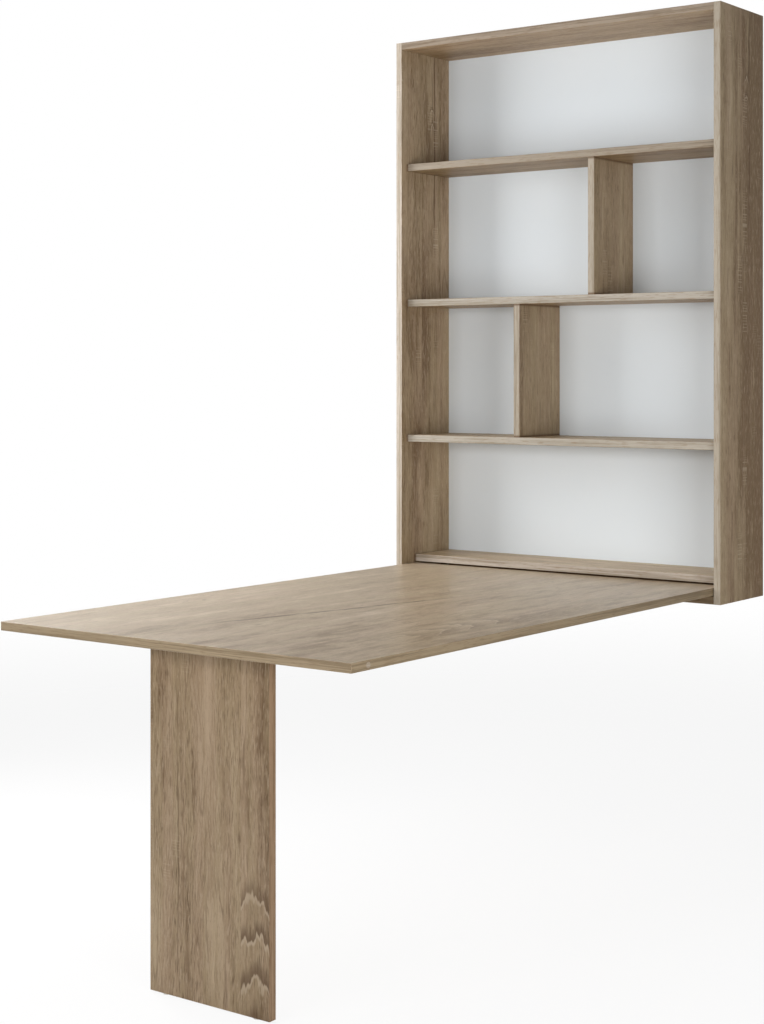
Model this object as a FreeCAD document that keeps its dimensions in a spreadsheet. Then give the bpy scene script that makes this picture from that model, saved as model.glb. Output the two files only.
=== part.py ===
# Fold-down wall desk: a shallow wall cabinet whose full-height front is the table top.
# The table top hangs on two pins that run in short slots in the side panels. It is drawn
# forward a little while it swings up, so that it closes flush between the sides.
# Millimetres, +Z up, X along the wall, +Y into the wall. Z = 0 is the floor, and the origin
# lies under the middle of the desk's overall length from the wall to the free edge.
import FreeCAD, Part
import os
import re
import Sketcher

Vector = FreeCAD.Vector
Rotation = FreeCAD.Rotation

# Driving dimensions, one cell of the sheet for each.
SIZES = {
    # cabinet
    "cabinet_width": 1000,
    "cabinet_height": 1460,
    "cabinet_depth": 225,
    "board": 19,
    "edge_round": 1.2,
    "ledge_recess": 57,
    "ledge_gap": 4,
    "bottom_row": 310,
    "second_row": 350,
    "top_row": 310,
    "small_bay": 356,
    "back_thickness": 3,
    "back_inset": 9,
    "back_groove": 6,
    "back_play": 0.5,
    # table top
    "table_height": 750,
    "leaf_thickness": 19,
    "leaf_side_round": 1,
    "leaf_tail": 66,
    "leaf_rest_gap": 2,
    "leaf_side_gap": 2.5,
    "leaf_head_gap": 3,
    "leaf_face_setback": 1,
    "leaf_closed_gap": 2,
    # pivot pins and their slots
    "pin_radius": 4,
    "pin_in_bush": 28,
    "pin_in_slot": 9,
    "pin_play": 0.05,
    "bush_radius": 6,
    "bush_length": 30,
    "slot_play": 0.15,
    "liner_wall": 2.3,
    "liner_floor": 1.5,
    "liner_end_play": 1,
    # leg
    "leg_width": 330,
    "leg_thickness": 19,
    "leg_setback": 125,
    "glide_height": 3,
    "glide_radius": 8,
    "glide_inset": 40,
    "spigot_radius": 2.5,
    "spigot_length": 12,
    # leg hinges
    "hinge_width": 60,
    "hinge_inset": 40,
    "hinge_plate": 1.5,
    "hinge_reach": 34,
    "knuckle_radius": 3,
    "knuckle_play": 0.2,
    "middle_knuckle": 20,
    "hinge_pin_radius": 1.5,
    "hinge_pin_play": 0.05,
    # joints between the boards
    "seat_play": 0.05,
    "tongue_width": 20,
    "tongue_length": 90,
    "tongue_thickness": 4,
    "tongue_play": 0.1,
    "tongue_end_play": 0.5,
    "cam_inset": 37,
    "cam_radius": 7.5,
    "cam_below_bolt": 4.5,
    "cam_distance": 34,
    "cam_slot": 8.2,
    "driver_slot": 1.6,
    "driver_depth": 2,
    "bolt_bore": 4,
    "bolt_radius": 3,
    "bolt_thread": 11,
    "bolt_past_cam": 2,
    # wall rail and hanging strip
    "sheet": 2,
    "rail_play": 0.3,
    "rail_flange": 30,
    "rail_lip": 16,
    "rail_drop": 60,
    "rail_end_gap": 30,
    "rail_hole_radius": 2.75,
    "rail_hole_height": 11,
    "rail_hole_spacing": 250,
    "strip_foot": 20,
    # lower wall brackets
    "bracket_width": 40,
    "bracket_leg": 30,
    "bracket_spacing": 700,
    "bracket_hole_radius": 2.5,
    # closing catch
    "magnet_radius": 5,
    "magnet_length": 10,
    "strike_radius": 6,
    "strike_thickness": 2,
    "catch_inset": 48,
}

# Sizes and places that follow from the driving ones.
DERIVED = {
    "inner_width": "cabinet_width - 2 * board",
    "inner_height": "cabinet_height - 2 * board",
    "leaf_width": "inner_width - 2 * leaf_side_gap",
    "leaf_length": "inner_height - leaf_rest_gap - leaf_head_gap",
    "leaf_reach": "leaf_length - leaf_tail",
    "wall_y": "(cabinet_depth + leaf_reach) / 2",
    "front_y": "wall_y - cabinet_depth",
    "leaf_edge_y": "front_y - leaf_reach",
    "cabinet_base": "table_height - leaf_thickness - leaf_rest_gap - board",
    "leaf_base": "table_height - leaf_thickness",
    "ledge_base": "table_height + ledge_gap",
    "shelf_lower_base": "ledge_base + board + bottom_row",
    "shelf_middle_base": "shelf_lower_base + board + second_row",
    "top_base": "cabinet_base + cabinet_height - board",
    "shelf_upper_base": "top_base - top_row - board",
    "shelf_recess": "leaf_face_setback + leaf_thickness + leaf_closed_gap",
    "back_face": "cabinet_depth - back_inset - back_thickness",
    "shelf_depth": "back_face - shelf_recess",
    "ledge_depth": "back_face - ledge_recess",
    "pin_height": "leaf_base + leaf_thickness / 2",
    "pin_open_depth": "leaf_tail - leaf_thickness / 2",
    "pin_closed_depth": "leaf_face_setback + leaf_thickness / 2",
    "pin_travel": "pin_open_depth - pin_closed_depth",
    "slot_radius": "pin_radius + slot_play",
    "liner_radius": "slot_radius + liner_wall",
    "liner_depth": "pin_in_slot + liner_end_play + liner_floor",
    "hinge_offset": "knuckle_radius + knuckle_play",
    "leg_front_y": "leaf_edge_y + leg_setback",
    "hinge_y": "leg_front_y + leg_thickness + hinge_offset",
    "hinge_height": "leaf_base - hinge_offset",
    "hinge_x": "leg_width / 2 - hinge_inset - hinge_width / 2",
    "leg_length": "leaf_base - glide_height",
    "cam_depth": "board / 2 + cam_below_bolt",
    "lip_rear": "sheet + 2 * rail_play",
    "lip_front": "lip_rear + sheet",
    "strip_rear": "lip_front + rail_play",
    "strip_front": "strip_rear + sheet",
    "lip_top": "rail_flange + rail_lip",
    "rail_base": "top_base - rail_drop",
    "catch_height": "leaf_base + leaf_length - catch_inset",
}

doc = FreeCAD.newDocument("fold_down_wall_desk")
sheet = doc.addObject("Spreadsheet::Sheet", "sizes")
for row, (alias, size) in enumerate(SIZES.items(), start=1):
    sheet.set(f"A{row}", alias)
    sheet.set(f"B{row}", str(size))
    sheet.setAlias(f"B{row}", alias)
doc.recompute()

WORD = re.compile(r"[a-z]\w*")
nodes = []


# ---------------------------------------------------------------- expressions

def full(text):
    """Write out an expression of size names so that it holds only cells of the sheet."""
    def spell(match):
        word = match.group()
        return f"({full(DERIVED[word])})" if word in DERIVED else f"sizes.{word}"
    return WORD.sub(spell, str(text))


def number(text):
    """The present value of an expression of size names."""
    return float(sheet.evalExpression(full(text)))


def bind(target, **properties):
    """Tie properties of an object to expressions of size names."""
    for name, text in properties.items():
        target.setExpression(name, full(text))


def place(target, x="0", y="0", z="0", rotation=None):
    """Put an object at a point given by expressions, turned by a fixed rotation."""
    target.Placement = FreeCAD.Placement(Vector(0, 0, 0), rotation or Rotation())
    for axis, text in zip("xyz", (x, y, z)):
        target.setExpression(f"Placement.Base.{axis}", full(text))


def axes(x_axis, y_axis):
    """The rotation that turns local X and Y to the given directions."""
    first = Vector(*x_axis)
    second = Vector(*y_axis)
    return Rotation(first, second, first.cross(second), "XYZ")


# ---------------------------------------------------------------- sketches and features

# Plane square to each axis, and the sign of that axis along the plane's normal.
PLANES = {"x": ("YZ_Plane", 1), "y": ("XZ_Plane", -1), "z": ("XY_Plane", 1)}


def new_body(label):
    body = doc.addObject("PartDesign::Body", label)
    body.Label = label
    return body


def new_sketch(body, name, axis, start="0"):
    """A sketch square to an axis of its body, at a distance along that axis."""
    role, sign = PLANES[axis]
    plane = next(item for item in body.Origin.OriginFeatures if item.Role == role)
    sketch = body.newObject("Sketcher::SketchObject", name)
    sketch.AttachmentSupport = [(plane, "")]
    sketch.MapMode = "FlatFace"
    sketch.setExpression("AttachmentOffset.Base.z", full(f"{sign} * ({start})"))
    return sketch


def fix_point(sketch, element, end, x, y):
    """Hold one point of a sketch at a place given by expressions."""
    for kind, text in (("DistanceX", x), ("DistanceY", y)):
        rule = Sketcher.Constraint(kind, -1, 1, element, end, number(text))
        index = sketch.addConstraint(rule)
        sketch.setExpression(f"Constraints[{index}]", full(text))


def fix_radius(sketch, element, radius):
    index = sketch.addConstraint(Sketcher.Constraint("Radius", element, number(radius)))
    sketch.setExpression(f"Constraints[{index}]", full(radius))


def draw_circles(sketch, spots, radius):
    for x, y in spots:
        centre = Vector(number(x), number(y), 0)
        circle = Part.Circle(centre, Vector(0, 0, 1), number(radius))
        element = sketch.addGeometry(circle, False)
        fix_radius(sketch, element, radius)
        fix_point(sketch, element, 3, x, y)


def direction(start, end):
    """The axis step from one sketch corner towards the next: one of four unit steps."""
    across = number(end[0]) - number(start[0])
    up = number(end[1]) - number(start[1])
    if abs(across) > abs(up):
        return (1 if across > 0 else -1, 0)
    return (0, 1 if up > 0 else -1)


def draw_outline(sketch, corners):
    """Draw a closed outline of runs along the axes.

    A corner is (x, y) where it is sharp, or (x, y, radius) where it is rounded by a
    quarter circle. Two rounds that meet halfway up an end make it a half circle.
    """
    points = []
    arcs = {}
    for index, corner in enumerate(corners):
        x, y = corner[:2]
        if len(corner) == 2:
            points.append((x, y))
            continue
        radius = corner[2]
        back = direction(corner, corners[index - 1])
        ahead = direction(corner, corners[(index + 1) % len(corners)])
        entry = (f"{x} + {back[0]} * ({radius})", f"{y} + {back[1]} * ({radius})")
        leave = (f"{x} + {ahead[0]} * ({radius})", f"{y} + {ahead[1]} * ({radius})")
        bend = (1 - 0.5 ** 0.5) * number(radius)
        middle = Vector(number(x) + (back[0] + ahead[0]) * bend,
                        number(y) + (back[1] + ahead[1]) * bend, 0)
        if not points or distance(points[-1], entry) > 1e-6:
            points.append(entry)
        arcs[len(points) - 1] = (middle, radius)
        if index < len(corners) - 1 or distance(points[0], leave) > 1e-6:
            points.append(leave)
    starts = [Vector(number(x), number(y), 0) for x, y in points]
    first_ends = []
    for index, start in enumerate(starts):
        end = starts[(index + 1) % len(starts)]
        if index in arcs:
            curve = Part.Arc(start, arcs[index][0], end)
        else:
            curve = Part.LineSegment(start, end)
        element = sketch.addGeometry(curve, False)
        drawn = sketch.Geometry[element]
        first_ends.append(1 if (drawn.StartPoint - start).Length < 1e-6 else 2)
    for index, (x, y) in enumerate(points):
        following = (index + 1) % len(points)
        joint = Sketcher.Constraint("Coincident", index, 3 - first_ends[index],
                                    following, first_ends[following])
        sketch.addConstraint(joint)
        fix_point(sketch, index, first_ends[index], x, y)
    for index, (middle, radius) in arcs.items():
        fix_radius(sketch, index, radius)


def distance(first, second):
    """The distance between two sketch points given by expressions."""
    across = number(first[0]) - number(second[0])
    up = number(first[1]) - number(second[1])
    return (across ** 2 + up ** 2) ** 0.5


def pad(body, axis, corners, length, start="0"):
    """Add the outline swept along an axis, towards its positive end."""
    sketch = new_sketch(body, "outline", axis, start)
    draw_outline(sketch, corners)
    feature = body.newObject("PartDesign::Pad", "pad")
    feature.Profile = sketch
    feature.Reversed = PLANES[axis][1] < 0
    bind(feature, Length=length)
    return feature


def cut_from(body, sketch, axis, depth, towards):
    feature = body.newObject("PartDesign::Pocket", "pocket")
    feature.Profile = sketch
    feature.Reversed = towards * PLANES[axis][1] > 0
    bind(feature, Length=depth)
    return feature


def pocket(body, name, axis, corners, start, towards, depth):
    """Cut an outline into a body from a start along an axis, +1 or -1 along it."""
    sketch = new_sketch(body, name, axis, start)
    draw_outline(sketch, corners)
    return cut_from(body, sketch, axis, depth, towards)


def drill(body, name, axis, spots, radius, start, towards, depth):
    """Drill round holes of one radius from a start along an axis, +1 or -1 along it."""
    sketch = new_sketch(body, name, axis, start)
    draw_circles(sketch, spots, radius)
    return cut_from(body, sketch, axis, depth, towards)


def round_ends(body, slab, radius):
    """Round the arrises all around both ends of a slab swept along x."""
    doc.recompute()
    faces = enumerate(slab.Shape.Faces, start=1)
    ends = [f"Face{index}" for index, face in faces if abs(face.normalAt(0, 0).x) > 0.9]
    feature = body.newObject("PartDesign::Fillet", "arris")
    feature.Base = (slab, ends)
    bind(feature, Radius=radius)


def turned(label, corners):
    """A body turned about its X axis from an outline of (distance along X, radius)."""
    body = new_body(label)
    sketch = new_sketch(body, "outline", "z")
    draw_outline(sketch, corners)
    feature = body.newObject("PartDesign::Revolution", "turning")
    feature.Profile = sketch
    feature.ReferenceAxis = (sketch, ["H_Axis"])
    feature.Angle = 360
    return body


def rectangle(left, low, right, high):
    return [(left, low), (right, low), (right, high), (left, high)]


def stadium(left, right, radius):
    """The outline of a slot with round ends, its length and radius about y = 0."""
    low_end = f"{left} - ({radius})"
    high_end = f"{right} + ({radius})"
    return [(low_end, f"-({radius})", radius), (high_end, f"-({radius})", radius),
            (high_end, radius, radius), (low_end, radius, radius)]


def node(target):
    """Count an object as a sub-part, written out under its label."""
    nodes.append(target)
    return target


def group(label, master, spots):
    """Copies of a master at (x, y, z, rotation), held together as one sub-part."""
    copies = []
    for x, y, z, rotation in spots:
        copy = doc.addObject("App::Link", f"{label}_copy")
        copy.LinkedObject = master
        place(copy, x, y, z, rotation)
        copies.append(copy)
    holder = doc.addObject("Part::Compound", label)
    holder.Label = label
    holder.Links = copies
    return node(holder)


# ---------------------------------------------------------------- shared places

FACING_RIGHT = axes((1, 0, 0), (0, 1, 0))
FACING_LEFT = axes((-1, 0, 0), (0, -1, 0))
FACING_UP = axes((0, 0, 1), (0, 1, 0))

# Boards that run between the sides: underside height, distance behind the cabinet's front
# edge, depth, and the depth in front of the back panel that the joints are centred in.
BOARDS = {
    "top_panel": ("top_base", "0", "cabinet_depth", "back_face"),
    "shelf_upper": ("shelf_upper_base", "shelf_recess", "shelf_depth", "shelf_depth"),
    "shelf_middle": ("shelf_middle_base", "shelf_recess", "shelf_depth", "shelf_depth"),
    "shelf_lower": ("shelf_lower_base", "shelf_recess", "shelf_depth", "shelf_depth"),
    "ledge_board": ("ledge_base", "ledge_recess", "ledge_depth", "ledge_depth"),
    "bottom_panel": ("cabinet_base", "0", "cabinet_depth", "back_face"),
}

# Outer boards drawn tight by a cam lock at each end: the face that the drums open on, as a
# height in the board, and +1 where that face looks up or -1 where it looks down.
CAM_BOARDS = {"top_panel": ("board", 1), "bottom_panel": ("0", -1)}

# Upright boards in the two middle rows: left face, height, and the shelves that they
# stand on and reach up to.
DIVIDERS = {
    "divider_upper": ("inner_width / 2 - small_bay - board",
                      "shelf_upper_base - shelf_middle_base - board",
                      "shelf_middle", "shelf_upper"),
    "divider_lower": ("small_bay - inner_width / 2", "second_row",
                      "shelf_lower", "shelf_middle"),
}


def tongue_slot(body, name, axis, middle, start, towards, flat):
    """Cut the slot of a loose tongue from a face square to the axis.

    middle is the tongue's centre in the sketch, and flat says which sketch direction its
    thickness lies along: 0 across, 1 up. The other direction takes its length.
    """
    half = ["tongue_length / 2 + tongue_play"] * 2
    half[flat] = "tongue_thickness / 2 + tongue_play"
    x, y = middle
    corners = rectangle(f"{x} - ({half[0]})", f"{y} - ({half[1]})",
                        f"{x} + {half[0]}", f"{y} + {half[1]}")
    pocket(body, name, axis, corners, start, towards, "tongue_width / 2 + tongue_end_play")


# ---------------------------------------------------------------- cabinet boards

def side_panel(label, side):
    """A side of the cabinet; side is -1 for the left one and +1 for the right one.

    Local x runs across the board, y back from the front edge, z up from the lower end.
    """
    body = new_body(label)
    pad(body, "z", [("0", "0", "edge_round"), ("board", "0", "edge_round"),
                    ("board", "cabinet_depth"), ("0", "cabinet_depth")], "cabinet_height")
    inner = "board" if side < 0 else "0"
    into_board = side
    groove_end = "board - back_groove" if side < 0 else "back_groove"
    low, high = sorted((inner, groove_end), key=number)
    pocket(body, "back_groove", "z",
           rectangle(low, "back_face", high, "back_face + back_thickness"),
           "cabinet_height", -1, "cabinet_height")
    slot = [(f"{x}", f"{y} + pin_height - cabinet_base", radius) for x, y, radius in
            stadium("pin_closed_depth", "pin_open_depth", "liner_radius + seat_play")]
    pocket(body, "slot_seat", "x", slot, inner, into_board, "liner_depth")
    for board_name, (base, recess, depth, span) in BOARDS.items():
        height = f"{base} + board / 2 - cabinet_base"
        middle = (f"{recess} + {span} / 2", height)
        tongue_slot(body, f"{board_name}_slot", "x", middle, inner, into_board, 1)
    bolts = [("cam_inset", f"{BOARDS[name][0]} + board / 2 - cabinet_base")
             for name in CAM_BOARDS]
    drill(body, "bolt_holes", "x", bolts, "bolt_radius + seat_play", inner, into_board,
          "bolt_thread")
    if side > 0:
        drill(body, "magnet_seat", "x", [("pin_closed_depth", "catch_height - cabinet_base")],
              "magnet_radius + seat_play", inner, into_board, "magnet_length")
    left = "-cabinet_width / 2" if side < 0 else "inner_width / 2"
    place(body, left, "front_y", "cabinet_base")
    return node(body)


def cross_board(label):
    """A board between the sides, with its rounded front edge and its end fittings.

    Local x runs along the board, y back from its front edge, z up from its underside.
    """
    base, recess, depth, span = BOARDS[label]
    body = new_body(label)
    pad(body, "x", [("0", "0", "edge_round"), (depth, "0"), (depth, "board"),
                    ("0", "board", "edge_round")], "inner_width")
    ends = (("0", 1), ("inner_width", -1))
    for end, towards in ends:
        tongue_slot(body, "end_slot", "x", (f"{span} / 2", "board / 2"), end, towards, 1)
    if label in CAM_BOARDS:
        mouth, outward = CAM_BOARDS[label]
        for end, towards in ends:
            drill(body, "bolt_bore", "x", [("cam_inset", "board / 2")], "bolt_bore", end,
                  towards, "cam_distance")
        cams = [(f"{end} + {towards} * cam_distance", "cam_inset") for end, towards in ends]
        drill(body, "cam_seats", "z", cams, "cam_radius + seat_play", mouth, -outward,
              "cam_depth")
        inner_face = "0" if mouth == "board" else "board"
        pocket(body, "back_groove", "z",
               rectangle("0", "back_face", "inner_width", "back_face + back_thickness"),
               inner_face, outward, "back_groove")
    for left, height, below, above in DIVIDERS.values():
        middle = (f"{left} + board / 2 + inner_width / 2", "shelf_depth / 2")
        if label == below:
            tongue_slot(body, "divider_foot_slot", "z", middle, "board", -1, 0)
        if label == above:
            tongue_slot(body, "divider_head_slot", "z", middle, "0", 1, 0)
    place(body, "-inner_width / 2", f"front_y + {recess}", base)
    return node(body)


def divider_board(label):
    """An upright board between two shelves, with a tongue slot at both ends.

    Local x runs across the board, y back from its front edge, z up from its foot.
    """
    left, height, below, above = DIVIDERS[label]
    body = new_body(label)
    pad(body, "z", [("0", "0", "edge_round"), ("board", "0", "edge_round"),
                    ("board", "shelf_depth"), ("0", "shelf_depth")], height)
    middle = ("board / 2", "shelf_depth / 2")
    tongue_slot(body, "foot_slot", "z", middle, "0", 1, 0)
    tongue_slot(body, "head_slot", "z", middle, height, -1, 0)
    place(body, left, "front_y + shelf_recess", f"{BOARDS[below][0]} + board")
    return node(body)


def back_panel():
    """The thin white back, let into grooves in the sides, top and bottom."""
    sheet_board = doc.addObject("Part::Box", "back_panel")
    sheet_board.Label = "back_panel"
    bind(sheet_board, Length="inner_width + 2 * (back_groove - back_play)",
         Width="back_thickness",
         Height="inner_height + 2 * (back_groove - back_play)")
    place(sheet_board, "-inner_width / 2 - back_groove + back_play", "front_y + back_face",
          "cabinet_base + board - back_groove + back_play")
    return node(sheet_board)


# ---------------------------------------------------------------- table top and leg

def table_leaf():
    """The table top: long slab with a half-round tail that turns inside the cabinet.

    Local x runs across the slab, y from the free edge to the tail, z up.
    """
    body = new_body("table_leaf")
    slab = pad(body, "x", [("0", "0", "edge_round"),
                           ("leaf_length", "0", "leaf_thickness / 2"),
                           ("leaf_length", "leaf_thickness", "leaf_thickness / 2"),
                           ("0", "leaf_thickness", "edge_round")], "leaf_width")
    round_ends(body, slab, "leaf_side_round")
    pivot = [("leaf_length - leaf_thickness / 2", "leaf_thickness / 2")]
    for end, towards in (("0", 1), ("leaf_width", -1)):
        drill(body, "bush_seat", "x", pivot, "bush_radius + seat_play", end, towards,
              "bush_length")
    drill(body, "strike_seat", "x", [("catch_inset", "leaf_thickness / 2")],
          "strike_radius + seat_play", "leaf_width", -1, "strike_thickness")
    place(body, "-leaf_width / 2", "leaf_edge_y", "leaf_base")
    return node(body)


def leg_panel():
    """The panel leg under the free end of the table top.

    Local x runs across the leg, y towards the wall, z up from its lower end.
    """
    body = new_body("leg_panel")
    pad(body, "z", [("0", "0", "edge_round"), ("leg_width", "0", "edge_round"),
                    ("leg_width", "leg_thickness", "edge_round"),
                    ("0", "leg_thickness", "edge_round")], "leg_length")
    glides = [(x, "leg_thickness / 2") for x in ("glide_inset", "leg_width - glide_inset")]
    drill(body, "glide_holes", "z", glides, "spigot_radius + seat_play", "0", 1,
          "spigot_length + 0.5")
    place(body, "-leg_width / 2", "leg_front_y", "glide_height")
    return node(body)


# ---------------------------------------------------------------- pivot and catch

def pivots():
    """Slot liners in the sides, bushes in the table top and the two pins between them."""
    liner = new_body("slot_liner")
    half = "pin_travel / 2"
    pad(liner, "x", stadium(f"-{half}", half, "liner_radius"), "liner_depth")
    pocket(liner, "slot", "x", stadium(f"-{half}", half, "slot_radius"), "0", 1,
           "liner_depth - liner_floor")
    middle = "front_y + (pin_open_depth + pin_closed_depth) / 2"
    group("slot_liners", liner, [("inner_width / 2", middle, "pin_height", FACING_RIGHT),
                                 ("-inner_width / 2", middle, "pin_height", FACING_LEFT)])
    pivot_y = "front_y + pin_open_depth"
    bush = turned("pivot_bush", rectangle("0", "pin_radius + pin_play", "bush_length",
                                          "bush_radius"))
    bush_x = "leaf_width / 2 - bush_length"
    group("pivot_bushes", bush, [(bush_x, pivot_y, "pin_height", FACING_RIGHT),
                                 (f"-({bush_x})", pivot_y, "pin_height", FACING_LEFT)])
    pin = turned("pivot_pin", rectangle("0", "0", "pin_in_bush + leaf_side_gap + pin_in_slot",
                                        "pin_radius"))
    pin_x = "leaf_width / 2 - pin_in_bush"
    group("pivot_pins", pin, [(pin_x, pivot_y, "pin_height", FACING_RIGHT),
                              (f"-({pin_x})", pivot_y, "pin_height", FACING_LEFT)])


def catch():
    """A magnet in the right side and its steel disc in the table top's right edge."""
    magnet = turned("catch_magnet", rectangle("0", "0", "magnet_length", "magnet_radius"))
    place(magnet, "inner_width / 2", "front_y + pin_closed_depth", "catch_height")
    node(magnet)
    strike = turned("catch_strike", rectangle("0", "0", "strike_thickness", "strike_radius"))
    place(strike, "leaf_width / 2 - strike_thickness", "leaf_edge_y + catch_inset",
          "pin_height")
    node(strike)


# ---------------------------------------------------------------- leg hinges and glides

def hinge_half(label, knuckles):
    """One half of a butt hinge about the local X axis, its plate hanging down at y < 0.

    knuckles lists the (start, end) stretches along x that this half's barrel has.
    """
    body = new_body(label)
    half = "hinge_width / 2"
    reach = "hinge_reach"
    clear = "hinge_offset"
    inner_face = "hinge_plate - hinge_offset"
    pad(body, "x", rectangle("-hinge_offset", f"-{reach}", inner_face, f"-({clear})"),
        "hinge_width", f"-{half}")
    for start, end in knuckles:
        length = f"{end} - ({start})"
        pad(body, "x", rectangle("-hinge_offset", f"-({clear})", inner_face, "0"), length,
            start)
        barrel = new_sketch(body, "barrel", "x", start)
        draw_circles(barrel, [("0", "0")], "knuckle_radius")
        feature = body.newObject("PartDesign::Pad", "barrel_pad")
        feature.Profile = barrel
        bind(feature, Length=length)
    drill(body, "pin_bore", "x", [("0", "0")], "hinge_pin_radius + hinge_pin_play",
          f"-{half}", 1, "hinge_width")
    return body


def leg_hinges():
    """Two butt hinges in the corner between the table top and the leg's rear face."""
    gap = "middle_knuckle / 2 + knuckle_play"
    half = "hinge_width / 2"
    leg_half = hinge_half("leg_hinge_half", [("-middle_knuckle / 2", "middle_knuckle / 2")])
    leaf_half = hinge_half("leaf_hinge_half", [(f"-{half}", f"-({gap})"), (gap, half)])
    pin = turned("hinge_pin", rectangle("0", "0", "hinge_width", "hinge_pin_radius"))
    sides = ("-hinge_x", "hinge_x")
    against_leg = Rotation()
    against_leaf = axes((-1, 0, 0), (0, 0, -1))
    group("leg_hinge_plates", leg_half,
          [(x, "hinge_y", "hinge_height", against_leg) for x in sides])
    group("leaf_hinge_plates", leaf_half,
          [(x, "hinge_y", "hinge_height", against_leaf) for x in sides])
    group("hinge_pins", pin,
          [(f"{x} - {half}", "hinge_y", "hinge_height", FACING_RIGHT) for x in sides])


def leg_glides():
    """Plastic glides pressed into the leg's lower end."""
    glide = turned("leg_glide", [("0", "0"), ("glide_height + spigot_length", "0"),
                                 ("glide_height + spigot_length", "spigot_radius"),
                                 ("glide_height", "spigot_radius"),
                                 ("glide_height", "glide_radius"),
                                 ("0", "glide_radius")])
    middle = "leg_front_y + leg_thickness / 2"
    offset = "leg_width / 2 - glide_inset"
    group("leg_glides", glide, [(f"-({offset})", middle, "0", FACING_UP),
                                (offset, middle, "0", FACING_UP)])


# ---------------------------------------------------------------- joints between the boards

def tongues():
    """Loose tongues in the ends of the shelves and boards, half in each piece."""
    tongue = new_body("tongue")
    pad(tongue, "z", rectangle("-tongue_width / 2", "-tongue_length / 2",
                               "tongue_width / 2", "tongue_length / 2"),
        "tongue_thickness", "-tongue_thickness / 2")
    board_spots = []
    for base, recess, depth, span in BOARDS.values():
        for side in (-1, 1):
            board_spots.append((f"{side} * inner_width / 2",
                                f"front_y + {recess} + {span} / 2", f"{base} + board / 2",
                                FACING_RIGHT))
    group("board_tongues", tongue, board_spots)
    divider_spots = []
    for left, height, below, above in DIVIDERS.values():
        for z in (f"{BOARDS[below][0]} + board", BOARDS[above][0]):
            divider_spots.append((f"{left} + board / 2",
                                  "front_y + shelf_recess + shelf_depth / 2", z, FACING_UP))
    group("divider_tongues", tongue, divider_spots)


def cam_lock():
    """A cam lock: short drum with a slot for the bolt's end and a driver slot.

    Local x runs into the board from the drum's face, and the bolt comes in along +y.
    """
    body = new_body("cam_lock")
    drum = new_sketch(body, "drum", "x")
    draw_circles(drum, [("0", "0")], "cam_radius")
    feature = body.newObject("PartDesign::Pad", "drum_pad")
    feature.Profile = drum
    bind(feature, Length="cam_depth")
    half = "cam_slot / 2"
    pocket(body, "bolt_slot", "z",
           rectangle(f"board / 2 - {half}", f"-{half}", f"board / 2 + {half}", "cam_radius"),
           f"-{half}", 1, "cam_slot")
    pocket(body, "driver_slot", "x",
           rectangle("-0.7 * cam_radius", "-driver_slot / 2", "0.7 * cam_radius",
                     "driver_slot / 2"), "0", 1, "driver_depth")
    return body


def cam_fittings():
    """Cam locks in the top and bottom panels and the steel bolts that they draw in."""
    bolt = turned("cam_bolt", rectangle("0", "0",
                                        "bolt_thread + cam_distance + bolt_past_cam",
                                        "bolt_radius"))
    locks = []
    bolts = []
    for label, (mouth, outward) in CAM_BOARDS.items():
        base = BOARDS[label][0]
        for side in (-1, 1):
            face = f"{side} * inner_width / 2"
            locks.append((f"{face} - {side} * cam_distance", "front_y + cam_inset",
                          f"{base} + {mouth}", axes((0, 0, -outward), (side, 0, 0))))
            bolts.append((f"{face} + {side} * bolt_thread", "front_y + cam_inset",
                          f"{base} + board / 2", FACING_RIGHT if side < 0 else FACING_LEFT))
    group("cam_locks", cam_lock(), locks)
    group("cam_bolts", bolt, bolts)


# ---------------------------------------------------------------- wall fixings

def wall_rail():
    """The joggled steel rail on the wall: flange at the wall, lip standing off it.

    Local x runs along the rail, y = 0 is the wall, z up from the flange's lower edge.
    """
    body = new_body("wall_rail")
    length = "inner_width - 2 * rail_end_gap"
    pad(body, "x", [("0", "0"), ("0", "rail_flange"), ("-lip_rear", "rail_flange"),
                    ("-lip_rear", "lip_top"), ("-lip_front", "lip_top"),
                    ("-lip_front", "rail_flange - sheet"), ("-sheet", "rail_flange - sheet"),
                    ("-sheet", "0")], length)
    holes = [(f"({length}) / 2 + {step} * rail_hole_spacing", "rail_hole_height")
             for step in (-1.5, -0.5, 0.5, 1.5)]
    drill(body, "wall_screw_holes", "y", holes, "rail_hole_radius", "-sheet", 1, "sheet")
    place(body, f"-({length}) / 2", "wall_y", "rail_base")
    return node(body)


def hanging_strip():
    """The hooked strip across the cabinet's back that drops over the wall rail's lip.

    Local x runs along the strip, y = 0 is the wall, z as in the wall rail.
    """
    body = new_body("hanging_strip")
    hook_foot = "rail_flange + rail_play"
    hook_top = "lip_top + sheet"
    pad(body, "x", [("-strip_front", "strip_foot"), ("-strip_front", hook_top),
                    ("-rail_play", hook_top), ("-rail_play", hook_foot),
                    ("-(rail_play + sheet)", hook_foot), ("-(rail_play + sheet)", "lip_top"),
                    ("-strip_rear", "lip_top"), ("-strip_rear", "strip_foot")],
        "inner_width")
    for start in ("0", "inner_width - sheet"):
        pad(body, "x", rectangle("-strip_rear", "strip_foot", "-rail_play", "lip_top"),
            "sheet", start)
    place(body, "-inner_width / 2", "wall_y", "rail_base")
    return node(body)


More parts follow.
